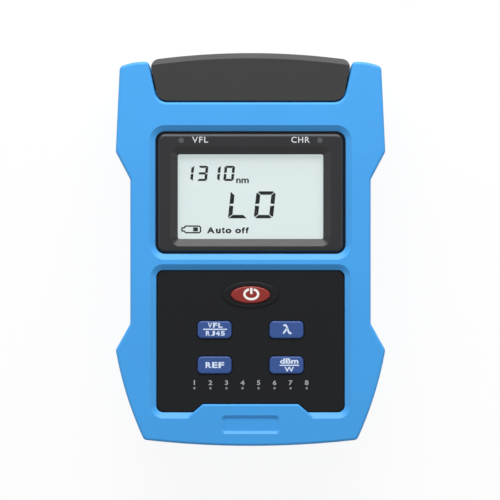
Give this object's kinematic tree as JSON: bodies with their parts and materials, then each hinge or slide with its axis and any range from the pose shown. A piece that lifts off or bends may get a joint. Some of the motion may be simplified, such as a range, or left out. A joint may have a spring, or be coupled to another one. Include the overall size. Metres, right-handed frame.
{
  "type": "handheld optical power meter",
  "caption": "Handheld fibre power meter with a blue case, grey flip cover over the ports, framed display, power key, function keys and a row of wire map lights.",
  "frame": {"origin": "under the middle of the case, on the plane of its flat back", "axes": "+X across the case to the right of the display, +Y towards the flip cover, +Z out of the front face"},
  "size_m": [0.084, 0.1224, 0.034],
  "materials": {
    "case_blue": "satin moulded plastic",
    "cover_grey": "satin moulded plastic",
    "bezel_black": "satin moulded plastic",
    "panel_black": "matt moulded plastic",
    "key_blue": "satin key cap with a printed legend",
    "key_red": "translucent moulded key cap",
    "clear_sheet": "clear acrylic sheet",
    "display_grey": "segment display with a pale polariser",
    "frame_white": "plain moulded plastic",
    "light_white": "milky light guide",
    "strip_grey": "layered elastomer",
    "pipe_clear": "clear moulded plastic",
    "lens_smoke": "smoked moulded plastic",
    "chip_white": "moulded light chip",
    "switch_black": "plain moulded plastic",
    "board_green": "coated circuit board",
    "screw_steel": "plain steel",
    "pin_steel": "ground steel",
    "port_nickel": "nickel-plated brass",
    "detector_gold": "gold-plated can",
    "laser_brass": "turned brass",
    "socket_black": "moulded plastic",
    "contact_gold": "gold-plated springs",
    "sleeve_steel": "folded sheet",
    "cell_silver": "foil-wrapped cell",
    "foam_black": "soft foam"
  },
  "bodies": {
    "housing": {"front_shell": "case_blue", "rear_shell": "case_blue", "hinge_pin": "pin_steel", "port_plate": "panel_black", "meter_port": "port_nickel", "photodetector": "detector_gold", "fault_light_port": "port_nickel", "laser_module": "laser_brass", "network_socket": "socket_black", "socket_contacts": "contact_gold", "charge_socket": "sleeve_steel", "display_bezel": "bezel_black", "display_window": "clear_sheet", "display_panel": "display_grey", "display_frame": "frame_white", "contact_strip": "strip_grey", "backlight": "light_white", "indicator_pipes": "lens_smoke", "indicator_chips": "chip_white", "wire_map_chips": "chip_white", "light_bar": "pipe_clear", "keypad_panel": "panel_black", "key_switches": "switch_black", "main_board": "board_green", "board_screws": "screw_steel", "case_screws": "screw_steel", "battery_pad": "foam_black", "battery_cell": "cell_silver"},
    "flip_cover": {"flip_cover": "cover_grey"},
    "power_key": {"power_key": "key_red", "power_plunger": "switch_black"},
    "fault_light_key": {"fault_light_key": "key_blue", "fault_light_plunger": "switch_black"},
    "wavelength_key": {"wavelength_key": "key_blue", "wavelength_plunger": "switch_black"},
    "reference_key": {"reference_key": "key_blue", "reference_plunger": "switch_black"},
    "unit_key": {"unit_key": "key_blue", "unit_plunger": "switch_black"}
  },
  "joints": [
    {"name": "cover_hinge", "type": "hinge", "parent": "housing", "child": "flip_cover", "pos_m": [0, 0.0562, 0.0036], "axis": [-1, 0, 0], "range_deg": [0, 110]},
    {"name": "power_press", "type": "slide", "parent": "housing", "child": "power_key", "axis": [0, 0, -1], "range_m": [0, 0.0006], "stiffness_N_per_m": 300},
    {"name": "fault_light_press", "type": "slide", "parent": "housing", "child": "fault_light_key", "axis": [0, 0, -1], "range_m": [0, 0.0006], "stiffness_N_per_m": 300},
    {"name": "wavelength_press", "type": "slide", "parent": "housing", "child": "wavelength_key", "axis": [0, 0, -1], "range_m": [0, 0.0006], "stiffness_N_per_m": 300},
    {"name": "reference_press", "type": "slide", "parent": "housing", "child": "reference_key", "axis": [0, 0, -1], "range_m": [0, 0.0006], "stiffness_N_per_m": 300},
    {"name": "unit_press", "type": "slide", "parent": "housing", "child": "unit_key", "axis": [0, 0, -1], "range_m": [0, 0.0006], "stiffness_N_per_m": 300}
  ]
}
